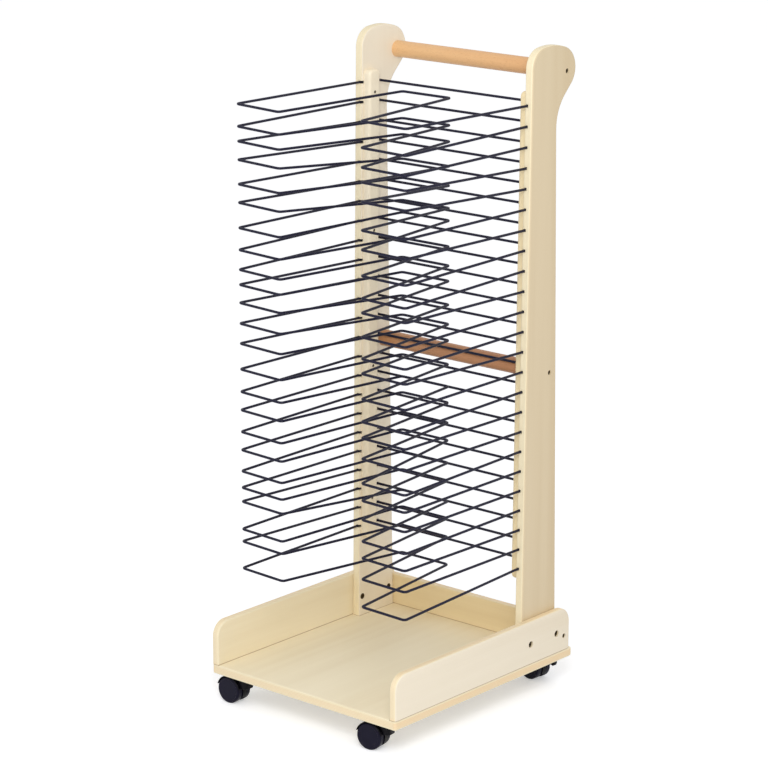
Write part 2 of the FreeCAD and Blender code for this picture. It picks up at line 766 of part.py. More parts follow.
def export_casters():
    """Write the pieces of all four casters."""
    plate = caster_plate()
    axle = caster_axle()
    wheels = [caster_wheel(-1), caster_wheel(1)]
    plain = caster_housing(False)
    braked = caster_housing(True)
    lever = brake_lever()
    for name, x, y in caster_places():
        heading = caster_headings[name]
        has_brake = name in braked_casters
        export(name + "_caster_plate", placed(plate, x, y, 0))
        export(name + "_caster_housing", placed(braked if has_brake else plain, x, y, heading))
        export(name + "_caster_axle", placed(axle, x, y, heading))
        export(name + "_caster_wheels", *[placed(wheel, x, y, heading) for wheel in wheels])
        if has_brake:
            export(name + "_brake_lever", placed(lever, x, y, heading))


# ================================================================ the rack
def main():
    os.makedirs("parts", exist_ok=True)
    export("base_board", base_board())
    export("left_side_panel", side_panel(-1))
    export("right_side_panel", side_panel(1))
    export("rear_panel", rear_panel())
    export("left_post", post(-1))
    export("right_post", post(1))
    export("left_clamp_strip", clamp_strip(-1))
    export("right_clamp_strip", clamp_strip(1))
    export("handle_bar", bar(handle_centre()))
    export("middle_stretcher", bar(stretcher_centre()))
    for index in range(shelf_count):
        export("shelf_%02d" % (index + 1), shelf(index))
    export("panel_bolts", *panel_bolts())
    export("sleeve_nuts", *sleeve_nuts())
    export("bar_screws", *bar_screws())
    export("strip_screws", *strip_screws())
    export("rear_panel_screws", *rear_panel_screws())
    export("base_screws", *base_screws())
    export("caster_screws", *caster_screws())
    export_casters()


main()
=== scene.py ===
# %% [markdown]
# # An art drying rack
# The rack is a plywood tray on casters with two tall posts, a beech handle bar and twenty-four
# shelves bent from coated wire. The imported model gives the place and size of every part. This
# lesson gives each part the surface that it has in the workshop: lacquered birch plywood, beech,
# powder-coated wire, moulded nylon and plated screws.

# %% Load the frame
import json
import math

import bmesh
import bpy
import numpy as np
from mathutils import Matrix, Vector


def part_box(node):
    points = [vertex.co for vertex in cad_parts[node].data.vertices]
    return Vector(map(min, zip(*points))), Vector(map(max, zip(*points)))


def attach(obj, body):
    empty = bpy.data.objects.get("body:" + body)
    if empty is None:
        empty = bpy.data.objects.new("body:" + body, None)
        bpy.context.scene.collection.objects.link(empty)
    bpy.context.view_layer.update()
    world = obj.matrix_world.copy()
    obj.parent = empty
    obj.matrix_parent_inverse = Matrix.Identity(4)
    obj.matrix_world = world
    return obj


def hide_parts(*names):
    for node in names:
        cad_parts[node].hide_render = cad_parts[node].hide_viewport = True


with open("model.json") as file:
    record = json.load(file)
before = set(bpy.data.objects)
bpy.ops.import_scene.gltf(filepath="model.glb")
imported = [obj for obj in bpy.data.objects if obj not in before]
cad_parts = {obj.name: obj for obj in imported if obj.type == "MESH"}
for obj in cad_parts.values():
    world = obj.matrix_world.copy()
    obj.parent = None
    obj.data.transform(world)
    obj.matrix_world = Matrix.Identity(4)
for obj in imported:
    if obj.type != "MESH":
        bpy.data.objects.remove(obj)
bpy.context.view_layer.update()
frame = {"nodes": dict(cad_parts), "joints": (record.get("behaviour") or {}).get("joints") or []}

nodes = frame["nodes"]
joints = {joint["name"]: joint for joint in frame["joints"]}
MM = 0.001

# %% [markdown]
# ## Surfaces from arrays
# A bent wire, a wheel and a screw are all grids: one parameter runs along a path or a profile,
# the other runs round it. They could also be made from Blender's curves and cylinders, but with
# numpy one formula gives every point at once, and the same few lines serve all of them.

# %% Grids of points and the faces between them
merge_distance = 0.002 * MM
shortest_edge = 0.0005 * MM
sharp_turn = 35                # degrees between two faces from which their edge stays crisp


def grid_faces(rows, columns, closed_rows=False):
    """Corner numbers of the faces between neighbouring points of a grid that is closed round its
    columns. closed_rows also joins the last row to the first."""
    i = np.arange(rows if closed_rows else rows - 1)[:, None]
    j = np.arange(columns)[None, :]
    below = (i + 1) % rows
    beside = (j + 1) % columns
    corners = [i * columns + j, i * columns + beside, below * columns + beside, below * columns + j]
    return np.stack(np.broadcast_arrays(*corners), -1).reshape(-1, 4)


def piece(name, grids, finish, body, replaces, closed_rows=False):
    """One object from several closed grids of points. Poles are merged and faces point outwards.
    It moves with a body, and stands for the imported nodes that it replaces."""
    points = []
    faces = []
    count = 0
    for grid in grids:
        rows, columns = grid.shape[:2]
        points.append(grid.reshape(-1, 3))
        faces.append(grid_faces(rows, columns, closed_rows) + count)
        count += rows * columns
    mesh = bpy.data.meshes.new(name)
    mesh.from_pydata(np.concatenate(points).tolist(), [], np.concatenate(faces).tolist())
    work = bmesh.new()
    work.from_mesh(mesh)
    bmesh.ops.remove_doubles(work, verts=work.verts, dist=merge_distance)
    bmesh.ops.dissolve_degenerate(work, edges=work.edges, dist=shortest_edge)
    bmesh.ops.recalc_face_normals(work, faces=work.faces)
    work.to_mesh(mesh)
    work.free()
    mesh.shade_smooth()
    mesh.set_sharp_from_angle(angle=math.radians(sharp_turn))
    mesh.materials.append(finish)
    thing = bpy.data.objects.new(name, mesh)
    bpy.context.scene.collection.objects.link(thing)
    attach(thing, body)
    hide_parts(*replaces)


def dress(finish, *names):
    """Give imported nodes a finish."""
    for name in names:
        nodes[name].data.materials.clear()
        nodes[name].data.materials.append(finish)


# %% Paths and profiles


def unit(vectors):
    """Vectors of length 1 that point the same way."""
    return vectors / np.linalg.norm(vectors, axis=-1, keepdims=True)


def round_angles(columns):
    """Evenly spaced angles round a full turn."""
    return np.linspace(0, 2 * math.pi, columns, endpoint=False)


def rounded(corners, radii, steps=9):
    """Points round a closed path of straight runs joined by tangent arcs. At a corner p with unit
    vectors b and a towards its neighbours and half angle h, the arc's centre is
    p + (b + a) R / (|b + a| sin h). A corner that hardly turns stays one point."""
    corners = [np.asarray(corner, float) for corner in corners]
    points = []
    for k, (p, radius) in enumerate(zip(corners, radii)):
        b = unit(corners[k - 1] - p)
        a = unit(corners[(k + 1) % len(corners)] - p)
        half = math.acos(np.clip(a @ b, -1, 1)) / 2
        sweep = math.pi - 2 * half
        if sweep < 1e-4:
            points.append(p[None])
            continue
        centre = p + unit(a + b) * radius / math.sin(half)
        start = p + b * radius / math.tan(half) - centre
        end = p + a * radius / math.tan(half) - centre
        across = (end - start * math.cos(sweep)) / math.sin(sweep)
        t = np.linspace(0, sweep, steps)[:, None]
        points.append(centre + start * np.cos(t) + across * np.sin(t))
    return np.concatenate(points)


def tube(path, radius, sides):
    """Round section carried round a closed, nearly level path: ring i is
    path[i] + r (cos v S + sin v U), where S is level and square to the path and U stands up."""
    after = unit(np.roll(path, -1, 0) - path)
    before = unit(path - np.roll(path, 1, 0))
    along = unit(after + before)
    side = unit(np.cross(along, (0, 0, 1)))
    up = np.cross(side, along)
    v = round_angles(sides)[None, :, None]
    return path[:, None] + radius * (np.cos(v) * side[:, None] + np.sin(v) * up[:, None])


def turned(rings, v):
    """Surface drawn about +Z from rings of (radius, height): ring k at angle v is the point
    (r cos v, r sin v, h). A radius or height may be one number or one for each angle."""
    rows = []
    for radius, height in rings:
        rows.append(np.stack([radius * np.cos(v), radius * np.sin(v), height + 0 * v], -1))
    return np.array(rows)


def arc(r, h, radius, start, end, steps=6):
    """Rings of an arc in a profile, centred on (r, h), its angles in degrees from +r to +h."""
    t = np.radians(np.linspace(start, end, steps))
    return list(zip(r + radius * np.cos(t), h + radius * np.sin(t)))


def placed(points, origin, axis):
    """Points drawn about +Z, set at origin with +Z along axis."""
    axis = unit(np.asarray(axis, float))
    helper = np.array([0.0, 0, 1]) if abs(axis[2]) < 0.9 else np.array([1.0, 0, 0])
    side = unit(np.cross(helper, axis))
    up = np.cross(axis, side)
    return np.asarray(origin) + points[..., :1] * side + points[..., 1:2] * up + points[..., 2:] * axis


# %% [markdown]
# ## Shader arithmetic
# A pattern such as wood grain is a formula of the place on the piece. Built by hand in the node
# editor it is a web of boxes. Written as a Python expression it stays readable: each operator
# below adds one Math node.

# %% Sockets that take part in arithmetic


class Value:
    """A number, colour or vector inside a node tree. + - * and / are for numbers only."""

    def __init__(self, shading, socket):
        self.shading = shading
        self.socket = socket

    def maths(self, operation, *inputs):
        return self.shading.node("ShaderNodeMath", {"operation": operation}, inputs)

    def __add__(self, other):
        return self.maths("ADD", self, other)

    def __sub__(self, other):
        return self.maths("SUBTRACT", self, other)

    def __rsub__(self, other):
        return self.maths("SUBTRACT", other, self)

    def __mul__(self, other):
        return self.maths("MULTIPLY", self, other)

    def __truediv__(self, other):
        return self.maths("DIVIDE", self, other)

    __radd__ = __add__
    __rmul__ = __mul__

    def floor(self):
        return self.maths("FLOOR", self)

    def fraction(self):
        return self.maths("FRACT", self)

    def magnitude(self):
        return self.maths("ABSOLUTE", self)

    def most(self, other):
        return self.maths("MAXIMUM", self, other)

    def step(self, low, high):
        """0 below low, 1 above high and a smooth rise between them."""
        return self.shading.node("ShaderNodeMapRange", {"interpolation_type": "SMOOTHSTEP"},
                                 {"Value": self, "From Min": low, "From Max": high})


class Shading:
    """The node tree of a material or of the world, in the making."""

    def __init__(self, owner):
        self.owner = owner
        owner.use_nodes = True
        self.tree = owner.node_tree
        self.tree.nodes.clear()
        self.where = self.node("ShaderNodeTexCoord", out="Object")

    def node(self, kind, settings=None, inputs=(), out=0):
        """Add a node. settings are set first, then inputs, by name or in order."""
        node = self.tree.nodes.new(kind)
        for key, value in (settings or {}).items():
            if key == "stops":
                while len(node.color_ramp.elements) < len(value):
                    node.color_ramp.elements.new(1)
                for element, (position, tone) in zip(node.color_ramp.elements, value):
                    element.position = position
                    element.color = tone
            else:
                setattr(node, key, value)
        pairs = inputs.items() if isinstance(inputs, dict) else enumerate(inputs)
        for key, value in pairs:
            if isinstance(value, Value):
                self.tree.links.new(value.socket, node.inputs[key])
            else:
                node.inputs[key].default_value = value
        return Value(self, node.outputs[out]) if node.outputs else None

    def axes(self):
        """The three object coordinates, in metres."""
        split = self.node("ShaderNodeSeparateXYZ", None, {"Vector": self.where})
        return [Value(self, output) for output in split.socket.node.outputs]

    def noise(self, waves, detail, seed):
        """Noise from 0 to 1. waves is how many there are in a metre along x, y and z."""
        vector = self.node("ShaderNodeVectorMath", {"operation": "MULTIPLY_ADD"},
                           [self.where, waves, (seed, 1.7 * seed, 0.6 * seed)])
        return self.node("ShaderNodeTexNoise", None, {"Vector": vector, "Scale": 1.0, "Detail": detail})

    def blend(self, factor, a, b):
        """Colour a where factor is 0, colour b where it is 1."""
        return self.node("ShaderNodeMix", {"data_type": "RGBA"}, {0: factor, 6: a, 7: b}, out=2)

    def ramp(self, factor, *stops):
        """Colours along factor. stops are (position, colour)."""
        return self.node("ShaderNodeValToRGB", {"stops": stops}, [factor])

    def seen(self):
        """1 for what the camera sees, also in gloss or through glass, 0 for what lights the rack."""
        rays = [self.node("ShaderNodeLightPath", out="Is %s Ray" % kind)
                for kind in ("Camera", "Glossy", "Transmission")]
        return rays[0].most(rays[1]).most(rays[2])

    def surface(self, relief=None, depth=0.0, **inputs):
        """End a material with a Principled shader. relief, from 0 to 1, is the height of bumps
        that are depth millimetres high."""
        values = {key.replace("_", " "): value for key, value in inputs.items()}
        if relief is not None:
            values["Normal"] = self.node("ShaderNodeBump", None, {"Distance": depth * MM, "Height": relief})
        shader = self.node("ShaderNodeBsdfPrincipled", None, values)
        self.node("ShaderNodeOutputMaterial", None, {"Surface": shader})
        return self.owner


def new_finish(name):
    return Shading(bpy.data.materials.new(name))


def colour(red, green, blue):
    """Colour from sRGB values of 0 to 255, as the shader's linear numbers."""
    c = np.array([red, green, blue]) / 255
    linear = np.where(c <= 0.04045, c / 12.92, ((c + 0.055) / 1.055) ** 2.4)
    return (*linear.tolist(), 1.0)


# %% [markdown]
# ## Birch plywood
# The sheet is a stack of thin veneers. Its faces show one veneer with long fibres and a soft
# figure. Its edges show all of them, alternately along and across, with a glue line between two.
# Two materials, one for faces and one for edges, would meet in a hard line on the rounded edges.
# The depth through the sheet tells which veneer a point is in, so one formula does both. Every
# sheet comes from another log, so each one has a tone of its own.

# %% Where two sheets meet
board_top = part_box("right_post")[0][2]
panel_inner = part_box("right_side_panel")[0][0]
rear_panel_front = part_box("rear_panel")[0][1]
joins_of_board = [(0, panel_inner), (1, rear_panel_front)]
joins_on_board = [(2, board_top)]
print("the board's top is at", round(board_top / MM, 1), "mm")


def painted_join_shade(f, joins):
    """1 in a thin line of painted shade where sheets meet on the board, 0 elsewhere. joins are (axis,
    place), and a place along x counts for both sides of the rack."""
    x, y, z = f.axes()
    axes = (x.magnitude(), y, z)
    line = x * 0
    for axis, place in joins:
        line = line.most(1 - (axes[axis] - place).magnitude().step(0.4 * MM, 1.3 * MM))
    return line * z.step(board_top - 1.5 * MM, board_top - 0.3 * MM)


# %% The layers in an edge
long_ply_tones = (colour(246, 233, 198), colour(250, 240, 209))
cross_ply_tones = (colour(236, 215, 174), colour(244, 227, 189))
core_brown = colour(240, 203, 154)
glue_brown = colour(190, 150, 106)


def layers(f, depth, plies, fibre, brown, seed):
    """Colour of a cut edge at a depth of 0 to 1 through the sheet, and 1 in its glue lines. Veneer
    number floor(depth * plies) runs along the sheet if it is even and across if it is odd. brown
    is how brown the middle ones are."""
    ply = depth * plies
    crossed = (ply.floor() / 2).fraction() * 2
    glue = (ply.fraction() - 0.5).magnitude().step(0.40, 0.5)
    middle = 1 - (depth - 0.5).magnitude().step(0.26, 0.38)
    end_grain = f.noise((1100, 1100, 1100), 2.0, seed)
    long_ply = f.blend(fibre.step(0.3, 0.7), *long_ply_tones)
    cross_ply = f.blend(end_grain.step(0.3, 0.7), *cross_ply_tones)
    stack = f.blend(crossed * 0.7, long_ply, cross_ply)
    stack = f.blend(middle * brown, stack, core_brown)
    return f.blend(glue * 0.18, stack, glue_brown), glue


# %% Birch plywood
dark_figure = np.array([0.965, 0.950, 0.925])      # the figure's darkest and lightest places,
light_figure = np.array([1.020, 1.025, 1.035])     # as shares of the sheet's own tone
brightest = 252
pore_brown = colour(186, 150, 112)
# dark brown of the painted shade in the thin line where sheets meet
join_shade_brown = colour(150, 116, 70)


def birch(name, through, along, plies, tone, core, joins, seed):
    """Lacquered birch plywood. through and along are 0, 1 or 2 for x, y or z: the axis through
    the sheet and the axis of the face grain. plies is 1 for solid birch. core, from 0 to 0.5, is
    how brown the middle veneers are, and they are twice as brown in the edges along the grain."""
    f = new_finish("birch_" + name)
    low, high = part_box(name)
    depth = (f.axes()[through] - low[through]) / (high[through] - low[through])
    tone = np.array(tone)

    def grain(across, lengthwise):
        waves = [across] * 3
        waves[along] = lengthwise
        return tuple(waves)

    cloud = f.noise(grain(7, 0.9), 1.0, seed + 3)
    figure = f.noise(grain(42, 1.6), 2.0, seed)
    fibre = f.noise(grain(700, 10), 2.0, seed + 5)
    pore = f.noise(grain(1500, 110), 1.0, seed + 9).step(0.68, 0.78)
    face = f.ramp(cloud * 0.60 + figure * 0.30 + fibre * 0.10,
                  (0.30, colour(*tone * dark_figure)), (0.50, colour(*tone)),
                  (0.70, colour(*np.minimum(tone * light_figure, brightest))))
    face = f.blend(pore * 0.08, face, pore_brown)
    relief = fibre * 0.6 + figure * 0.2 - pore * 0.5
    if plies > 1:
        across = 3 - through - along
        half = (high[across] - low[across]) / 2
        from_middle = (f.axes()[across] - low[across] - half).magnitude()
        long_edge = from_middle.step(half - 9 * MM, half - 2 * MM)
        stack, glue = layers(f, depth, plies, fibre, (long_edge + 1) * core, seed + 11)
        ply = depth * plies
        inside = ply.step(0.8, 1.2) * (1 - ply.step(plies - 1.2, plies - 0.8))
        face = f.blend(inside, face, stack)
        relief = relief - glue * inside * 0.5
    # painted shade in a thin line where the sheet meets the board
    if joins:
        face = f.blend(painted_join_shade(f, joins) * 0.7, face, join_shade_brown)
    return f.surface(relief=relief, depth=0.03, Base_Color=face, Roughness=0.42 + fibre * 0.12)


# %% The sheets and strips
warm = (246, 233, 201)
yellow = (240, 220, 176)
pale = (241, 229, 206)
cream = (248, 235, 208)
tan = (220, 201, 166)
sheets = [
    ("base_board", 2, 1, 13, warm, 0.28, joins_of_board),
    ("left_side_panel", 0, 1, 11, warm, 0.15, joins_on_board),
    ("right_side_panel", 0, 1, 11, pale, 0.20, joins_on_board),
    ("rear_panel", 1, 0, 11, yellow, 0.20, joins_on_board),
    ("left_post", 0, 2, 13, pale, 0, joins_on_board),
    ("right_post", 0, 2, 13, tan, 0, joins_on_board),
    ("left_clamp_strip", 0, 2, 1, cream, 0, []),
    ("right_clamp_strip", 0, 2, 1, yellow, 0, []),
]
seed_step = 4.7
for order, (name, *rest) in enumerate(sheets):
    dress(birch(name, *rest, seed_step * (order + 1)), name)
print("birch on", len(sheets), "parts")

# %% [markdown]
# ## Beech bars
# Turned beech is known by its flecks: short dark dashes along the grain where the rays are cut.
# The tone drifts at random along a dowel, and it also grows steadily darker from its left end to its right.
# Flecks and rings are noise that is stretched along the bar.

# %% Beech
fleck_brown = colour(150, 92, 52)


def beech(name, light, middle, dark, seed):
    """Lacquered beech with its grain along x, lighter at its left end."""
    f = new_finish(name)
    x = f.axes()[0]
    fleck = f.noise((170, 1500, 1500), 1.0, seed).step(0.60, 0.72)
    ring = f.noise((2.0, 130, 130), 3.0, seed + 2)
    drift = f.noise((9, 30, 30), 2.0, seed + 4)
    fibre = f.noise((22, 1300, 1300), 2.0, seed + 6)
    # darker from the left end to the right, with drift and rings on top
    tone = (x * 1.6 + 0.5) * 0.50 + drift * 0.25 + ring * 0.25
    wood = f.ramp(tone, (0.15, light), (0.50, middle), (0.85, dark))
    wood = f.blend(fleck * 0.30, wood, fleck_brown)
    return f.surface(relief=fibre * 0.6 - fleck * 0.5, depth=0.04, Base_Color=wood,
                     Roughness=0.38 + fibre * 0.14)


handle_tones = (colour(243, 201, 148), colour(230, 180, 126), colour(214, 158, 108))
# The stretcher's beech is a darker, redder copy of the handle's: painted shade for the bar that stands in
# shadow among the shelves.
shaded_stretcher_tones = (colour(204, 150, 104), colour(188, 132, 90), colour(172, 116, 78))
dress(beech("handle_beech", *handle_tones, 2.3), "handle_bar")
dress(beech("shaded_stretcher_beech", *shaded_stretcher_tones, 7.1), "middle_stretcher")
print("beech on the handle bar and the stretcher")

# %% [markdown]
# ## Wire shelves
# Each shelf is one loop of steel wire with an epoxy coat. It lies level in the grooves of the
# posts and has been bent a little in use, so no two pairs of fingers point quite the same way.
# The loop could be a curve with a bevel. Here its path is worked out from the corners, so that
# each bend has its true radius.

# %% The wire's coat


def wire_coat():
    """Blue-black epoxy: a faint orange peel and a slightly uneven gloss."""
    f = new_finish("blue_black_epoxy")
    peel = f.noise((900, 900, 900), 2.0, 1.0)
    patch = f.noise((30, 30, 30), 2.0, 4.0)
    tint = f.blend(patch, colour(10, 9, 32), colour(17, 16, 46))
    return f.surface(relief=peel, depth=0.05, Base_Color=tint, Roughness=0.38 + patch * 0.16,
                     Specular_IOR_Level=0.25)


coat = wire_coat()

# %% The shelves' measures
wire_radius = 2.5 * MM
wire_sides = 16
bend_radius = 7 * MM
set_radius = 70 * MM           # soft bend where a finger rises or falls in front of the post
finger_width = 104 * MM
link_width = 116 * MM
link_depth = 296 * MM          # from the fingertips back to the link
left_twist = 3.3 * MM          # how much higher a fingertip is at its left end
right_twist = 2.0 * MM
groove_to_bend = 4 * wire_radius
first_drop = 105.2 * MM        # from the top of the posts to the first shelf
shelf_pitch = 38.5 * MM
# Rise of the left fingertip, the right fingertip and the link of each shelf, in millimetres.
shelf_bends = [
    (1, 5, 4), (-2, -4, -8), (9, -1, 0), (13, 11, -8), (6, 14, -6), (10, 1, -10),
    (1, 4, 5), (-2, -5, -6), (-1, -8, -4), (9, 4, 5), (13, -2, -2), (12, -4, -1),
    (12, 7, 6), (1, -2, -2), (-4, -6, -7), (-1, 2, 0), (-5, 1, -1), (-2, -7, 3),
    (-5, -1, -3), (1, 1, 0), (12, -2, -3), (-4, 4, 2), (10, 2, 3), (-5, -13, -14),
]

# %% The posts that hold them
post_height = 1178 * MM
post_taper = 13 * MM           # how far the front edge runs back over that height
post_low, post_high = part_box("right_post")
post_top = board_top + post_height


def post_front(z):
    """Front edge of a post at height z."""
    return post_low[1] + (z - board_top) * post_taper / post_height


# %% The loops of wire


def shelf_path(number):
    """Points round one loop, from the rear left corner over the left fingers to the right ones."""
    low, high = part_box("shelf_%02d" % (number + 1))
    left_rise, right_rise, link_rise = (MM * rise for rise in shelf_bends[number])
    z = post_top - first_drop - number * shelf_pitch
    side = high[0] - wire_radius
    front = low[1] + wire_radius
    rear = high[1] - wire_radius
    inner = side - finger_width
    bend = post_front(z) - groove_to_bend
    link = link_width / 2
    corners = [
        (-side, rear, z), (-side, bend, z),
        (-side, front, z + left_rise + left_twist / 2), (-inner, front, z + left_rise - left_twist / 2),
        (-link, front + link_depth, z + link_rise), (link, front + link_depth, z + link_rise),
        (inner, front, z + right_rise + right_twist / 2), (side, front, z + right_rise - right_twist / 2),
        (side, bend, z), (side, rear, z),
    ]
    radii = [bend_radius] * len(corners)
    radii[1] = radii[8] = set_radius
    return rounded(corners, radii)


for number in range(len(shelf_bends)):
    name = "shelf_%02d" % (number + 1)
    loop = tube(shelf_path(number), wire_radius, wire_sides)
    piece(name + "_wire", [loop], coat, "rack", [name], closed_rows=True)
print("bent", len(shelf_bends), "shelves")

# %% [markdown]
# ## Screws, bolts and nuts
# The posts, the strips and the tray are held by countersunk wood screws with a cross recess, and
# by connector bolts with a hexagon socket that turn into sleeve nuts. All of them are turned
# parts, so each is a set of rings about its axis. In the recess the ring's radius follows the
# driver's outline instead of a circle.

# %% Plated steel


def plated(name, low, high, roughness):
    """Plated steel with fine turning marks and tarnish."""
    f = new_finish(name)
    tarnish = f.noise((500, 500, 500), 3.0, 3.0)
    scratch = f.noise((5000, 5000, 400), 1.0, 6.0)
    tint = f.blend(tarnish, low, high)
    return f.surface(relief=tarnish * 0.6 + scratch * 0.4, depth=0.02, Base_Color=tint,
                     Roughness=roughness + tarnish * 0.2, Metallic=1.0)


brass = plated("dull_brass", colour(46, 38, 28), colour(92, 78, 56), 0.36)
zinc = plated("zinc_plate", colour(150, 150, 152), colour(196, 196, 200), 0.32)
plating = {"brass_plated_steel": brass, "zinc_plated_steel": zinc}

# %% Recesses and threads
around = round_angles(48)
recess_lip = 0.15 * MM


def cross_recess(reach, width):
    """Outline of two crossed bars: r(v) is the larger of their own outlines, and a bar's outline
    is min(reach / |cos v|, width / 2 |sin v|)."""
    c = np.maximum(np.abs(np.cos(around)), 1e-6)
    s = np.maximum(np.abs(np.sin(around)), 1e-6)
    return np.maximum(np.minimum(reach / c, width / 2 / s), np.minimum(reach / s, width / 2 / c))


def hexagon(flats):
    """Outline of a hexagon: r(v) = flats / 2 cos(w), w being the angle to the nearest flat's middle."""
    return flats / 2 / np.cos((around + math.pi / 6) % (math.pi / 3) - math.pi / 6)


def recess(outline, depth, narrowing):
    """Rings from the middle of a recess's floor to its rim on the head's face at height 0."""
    return [(0 * around, -depth), (outline * narrowing, -depth),
            (outline, -recess_lip), (outline + recess_lip, 0)]


def thread(core, crest, start, end, pitch):
    """Rings of a threaded shank. The ridge is a sharp wave of h / pitch + v / 2 pi, and the shank
    runs to a point over its last two turns."""
    rings = []
    for height in np.arange(start, end, -pitch / 6):
        phase = (height / pitch + around / (2 * math.pi)) % 1
        ridge = np.clip(1 - 3 * np.abs(phase - 0.5), 0, 1)
        point = min(1, (height - end) / (2 * pitch))
        rings.append(((core + (crest - core) * ridge) * point, height))
    return rings + [(0 * around, end)]


# %% Three kinds of fastener
hexagon_flats = 4 * MM


def wood_screw(head, length):
    """Countersunk screw with its head's face at height 0: a cone down to the shank, a plain
    neck and a thread."""
    shank = 2.0 * MM
    core = 1.45 * MM
    pitch = 1.8 * MM
    edge = 0.3 * MM
    cone = head / 2 - shank
    neck = cone + 0.15 * length
    rings = recess(cross_recess(0.30 * head, 0.13 * head), 0.22 * head, 0.45)
    rings += [(head / 2 - edge, 0), (head / 2 - edge / 6, -edge / 3), (head / 2, -edge)]
    rings += [(shank, -cone), (shank, -neck)]
    rings += thread(core, shank, -neck - 0.3 * MM, -length, pitch)
    return turned(rings, around)


def connector_bolt(head, height, shank, length):
    """Cylinder head with a hexagon socket and a machine thread."""
    chamfer = 0.6 * MM
    socket_depth = 2.6 * MM
    ridge = 0.5 * MM
    pitch = 1.0 * MM
    rings = recess(hexagon(hexagon_flats), socket_depth, 1.0)
    rings += [(head / 2 - chamfer, 0)] + arc(head / 2 - chamfer, -chamfer, chamfer, 90, 0)
    rings += [(head / 2, -height), (shank, -height)]
    rings += thread(shank - ridge, shank, -height - 0.4 * MM, -length, pitch)
    return turned(rings, around)


def sleeve_nut(head, height, barrel, length, bore):
    """Flat head with a hexagon socket on a barrel that is bored from its other end."""
    chamfer = 0.4 * MM
    socket_depth = 1.5 * MM
    bore_floor = -height - 0.5 * MM
    rings = recess(hexagon(hexagon_flats), socket_depth, 1.0)
    rings += [(head / 2 - chamfer, 0), (head / 2, -chamfer), (head / 2, -height), (barrel, -height)]
    rings += [(barrel, -length), (bore, -length), (bore, bore_floor), (0, bore_floor)]
    return turned(rings, around)


# %% Ways to set them in their holes


def driven(node, shape, slot, places):
    """Copies of one fastener that replace a node. places are (point on the head's face, the way
    that the head looks)."""
    grids = [placed(shape, point, outward) for point, outward in places]
    piece(node + "_set", grids, plating[slot], "rack", [node])
    print("set", len(grids), node)


def both_sides(x, ys, z, looks):
    """Places on the left and right of the rack. Heads look outwards if looks is 1 and inwards if
    it is -1."""
    return [((side * x, y, z), (side * looks, 0, 0)) for side in (-1, 1) for y in ys]


def middle(name):
    """Middle of a node's box."""
    low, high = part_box(name)
    return (np.array(low) + np.array(high)) / 2


# %% The screws of the bars, the strips and the rear panel
head = 9.4 * MM
small_head = 6.6 * MM
sink = 2 * MM                  # heads below the wood's face
small_sink = 1.2 * MM
bar_screw_length = 50 * MM
strip_screw_length = 28 * MM
panel_screw_length = 45 * MM
strip_screw_setback = 20.5 * MM
strip_screw_rows = 4
shelves_per_screw = 7
post_face = post_high[0]
panel_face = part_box("right_side_panel")[1][0]
strip_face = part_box("right_clamp_strip")[0][0]

places = []
for bar in ("handle_bar", "middle_stretcher"):
    x, y, z = middle(bar)
    places += both_sides(post_face - sink, [y], z, 1)
driven("bar_screws", wood_screw(head, bar_screw_length), "brass_plated_steel", places)

places = []
for row in range(strip_screw_rows):
    z = post_top - first_drop - (shelves_per_screw * row + 0.5) * shelf_pitch
    places += both_sides(strip_face + small_sink, [post_front(z) + strip_screw_setback], z, -1)
driven("strip_screws", wood_screw(small_head, strip_screw_length), "brass_plated_steel", places)

x, y, z = middle("rear_panel_screws")
places = both_sides(panel_face - sink, [y], z, 1)
driven("rear_panel_screws", wood_screw(head, panel_screw_length), "brass_plated_steel", places)

# %% The bolts of the side panels and their nuts
bolt_head = 12.4 * MM
bolt_low, bolt_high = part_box("panel_bolts")
bolt_z = (bolt_low[2] + bolt_high[2]) / 2
bolt_ys = (bolt_low[1] + bolt_head / 2, bolt_high[1] - bolt_head / 2)
bolt = connector_bolt(bolt_head, height=3.4 * MM, shank=3 * MM, length=26.5 * MM)
nut = sleeve_nut(12 * MM, height=2 * MM, barrel=4.1 * MM, length=22 * MM, bore=3.05 * MM)
driven("panel_bolts", bolt, "brass_plated_steel", both_sides(bolt_high[0], bolt_ys, bolt_z, 1))
driven("sleeve_nuts", nut, "brass_plated_steel", both_sides(post_low[0], bolt_ys, bolt_z, -1))

# %% The screws under the board
board_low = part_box("base_board")[0]
under_low, under_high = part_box("base_screws")
end_margin = 45 * MM           # from the ends of a panel to its screws
plate_thickness = 2.5 * MM
plate_inset = 6 * MM
caster_screw_length = 14 * MM
face = board_low[2] + sink
rear_row = middle("rear_panel")[1]
side_row = under_high[0] - head / 2
first = under_low[1] + head / 2
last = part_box("right_side_panel")[1][1] - end_margin
rows = (first, (first + last) / 2, last)
down = (0, 0, -1)
places = [((side * side_row, y, face), down) for side in (-1, 1) for y in rows]
places += [((side * (post_low[0] - end_margin), rear_row, face), down) for side in (-1, 1)]
driven("base_screws", wood_screw(head, panel_screw_length), "zinc_plated_steel", places)

corners = [name + "_" + side for name in ("front", "rear") for side in ("left", "right")]
places = []
for corner in corners:
    low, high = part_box(corner + "_caster_plate")
    plate_under = board_low[2] - plate_thickness
    places += [((x, y, plate_under), down) for x in (low[0] + plate_inset, high[0] - plate_inset)
               for y in (low[1] + plate_inset, high[1] - plate_inset)]
driven("caster_screws", wood_screw(small_head, caster_screw_length), "zinc_plated_steel", places)

# %% [markdown]
# ## Casters
# Each caster is a hood of black nylon over two nylon wheels on a steel axle, and turns on a pin in
# its plate. The hood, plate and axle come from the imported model. The wheels are turned anew, with a
# sunk disc in a raised rim, a rounded shoulder and a hollow inner side.

# %% Nylon


